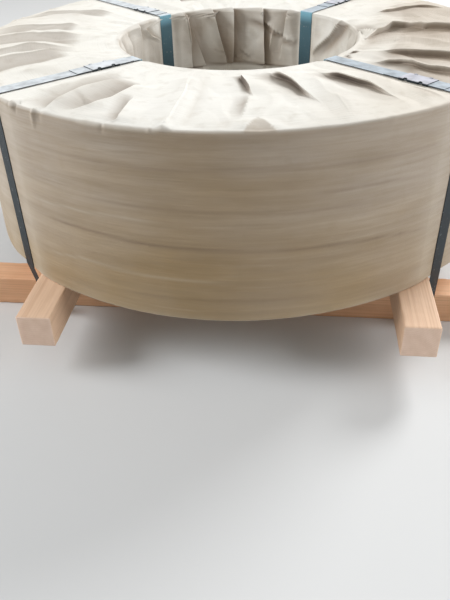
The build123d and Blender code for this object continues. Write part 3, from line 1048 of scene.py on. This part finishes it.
def seal(name, azimuth, distance, mat, replaced):
    """A crimped sleeve round the doubled band: two pairs of notches, their tabs bent up."""
    thick, clear, length = 1.1, 0.15, 57
    notch_at, notch_width, pinch, tab_lift = 15, 3.4, 0.1, 1.9
    inner_w, inner_h = STRAP_WIDTH / 2 + clear, STRAP_THICK + clear
    t = steps(-length / 2, length / 2, 69)[:, None]
    notch = np.exp(-(((np.abs(t) - notch_at) / notch_width) ** 6))
    walls = []
    for w, h, r in ((inner_w + thick, inner_h + thick, 1), (inner_w, inner_h, 0.3)):
        x, z = np.array(rounded_box(w, h, r, 0, 7)).T
        tab = notch * np.maximum(0, (np.abs(x) - w * 0.7) / (w * 0.3))
        height = STRAP_TOP + STRAP_THICK + z + tab_lift * tab
        walls.append(beside_plane(azimuth, distance + t, x * (1 - pinch * tab), height))
    points = np.stack(walls, axis=1)
    index = numbered(points)
    outside, inside = index[:, 0], index[:, 1]
    faces = grid_faces(outside) + grid_faces(index[-1])
    faces += [face[::-1] for face in grid_faces(inside) + grid_faces(index[0])]
    mesh_object(name, points, faces, replaced, mat, smooth_shade=False)


def make_straps():
    """A closed loop, a doubled tail and a seal for each strap."""
    # Pale dust and painted sky sheen on the upward faces of bands and seals
    strap_paint = strap_material("strap_paint", 0.86, rgb(190, 200, 208))
    seal_paint = strap_material("seal_paint", 0.92, rgb(204, 204, 213))
    # In the bore the band lies in a groove of the lining and stands out of it by this much
    proud, clear, tail_half = 0.3, 0.1, 60
    in_bore, on_side = BORE_R - proud + STRAP_THICK, OUTER_R + clear
    turn_z = WRAP_BOTTOM - 2
    bend_radii = [4, 1.6, 1.6, 4, 4, 4]
    for name, (azimuth, distance) in STRAPS.items():
        inside, outside = strap_ends_under(azimuth)
        loop = [(in_bore, turn_z), (in_bore, STRAP_TOP), (on_side, STRAP_TOP), (on_side, turn_z)]
        loop += [(outside, STRAP_UNDER), (inside, STRAP_UNDER)]
        route = rounded_route(loop, bend_radii, 9)
        ribbon("band_" + name, route, azimuth, strap_paint, "strap_" + name)
        along = steps(distance - tail_half, distance + tail_half, 24)
        tail = np.stack([along, np.full(len(along), STRAP_TOP + STRAP_THICK)], axis=1)
        ribbon("tail_" + name, tail, azimuth, strap_paint, "strap_" + name, closed=False)
        seal("sleeve_" + name, azimuth, distance, seal_paint, "seal_" + name)


def finish_steel():
    """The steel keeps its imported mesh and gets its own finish."""
    mesh = frame["nodes"]["steel_coil"].data
    mesh.materials.clear()
    mesh.materials.append(steel_material())


# Stage
AMBIENT = 0.29
# The camera that was fitted to the ellipses of the rims and the eye in the photo
CAMERA_PLACE = (0.1253, -1.4393, 0.8166)
CAMERA_FORWARD = (-0.0935, 0.80743, -0.5825)
CAMERA_UP = (-0.04125, 0.58142, 0.81256)
CAMERA_LENS = 39.3


def make_floor():
    half = 30
    square = [(-half, -half, 0), (half, -half, 0), (half, half, 0), (-half, half, 0)]
    mesh = bpy.data.meshes.new("floor")
    mesh.from_pydata(square, [], [(0, 1, 2, 3)])
    floor = new_object("floor", mesh)
    n = Nodes("pale_floor")
    paint = n.finish(Base_Color=(0.66, 0.66, 0.655), Roughness=0.9, Specular_IOR_Level=0.2)
    mesh.materials.append(paint)


def make_world():
    """Plain soft light; the camera, gloss and glass see white round the floor."""
    n = Nodes("studio", "worlds")
    n.tree.nodes.clear()
    rays = n.node("LightPath").outputs
    seen = n.math("MAXIMUM", rays["Is Camera Ray"], rays["Is Glossy Ray"])
    seen = n.math("MAXIMUM", seen, rays["Is Transmission Ray"])
    light = n.node("Background", Color=(1, 0.98, 0.95), Strength=AMBIENT)
    white = n.node("Background", Color=(1, 1, 1))
    mix = n.node("MixShader")
    for place, value in enumerate((seen, light.outputs[0], white.outputs[0])):
        n.join(value, mix.inputs[place])
    n.node("OutputWorld", Surface=mix.outputs[0])
    bpy.context.scene.world = n.owner


def lamp(name, azimuth, elevation, distance, size, watts, colour):
    """A soft round lamp that looks at the middle of the coil."""
    target = Vector((0, 0, 0.4))
    cos_e, sin_e = circle(elevation)
    cos_a, sin_a = circle(azimuth)
    away = Vector((cos_e * cos_a, cos_e * sin_a, sin_e)) * distance
    data = bpy.data.lights.new(name, "AREA")
    data.shape, data.size, data.energy, data.color = "DISK", size, watts, colour
    obj = new_object(name, data)
    obj.location = target + away
    obj.rotation_mode = "QUATERNION"
    obj.rotation_quaternion = (-away).to_track_quat("-Z", "Y")


def make_camera():
    camera = new_object("camera", bpy.data.cameras.new("camera"))
    camera.data.lens = CAMERA_LENS
    camera.data.clip_start, camera.data.clip_end = 0.05, 60
    forward = Vector(CAMERA_FORWARD).normalized()
    rightward = forward.cross(Vector(CAMERA_UP)).normalized()
    upward = rightward.cross(forward)
    turned = Matrix((rightward, upward, -forward)).transposed().to_4x4()
    camera.matrix_world = Matrix.Translation(CAMERA_PLACE) @ turned
    bpy.context.scene.camera = camera
    bpy.context.scene.view_settings.view_transform = "Standard"


make_wrap(paper_material())
make_timber()
make_straps()
finish_steel()
make_floor()
make_world()
lamp("key_light", 50, 33, 6.5, 2.4, 380, (0.98, 0.99, 1))
lamp("left_light", -167, 26, 4, 2, 141, (0.94, 0.97, 1))
lamp("right_light", -12, 17, 4.5, 2.4, 112, (0.94, 0.97, 1))
make_camera()
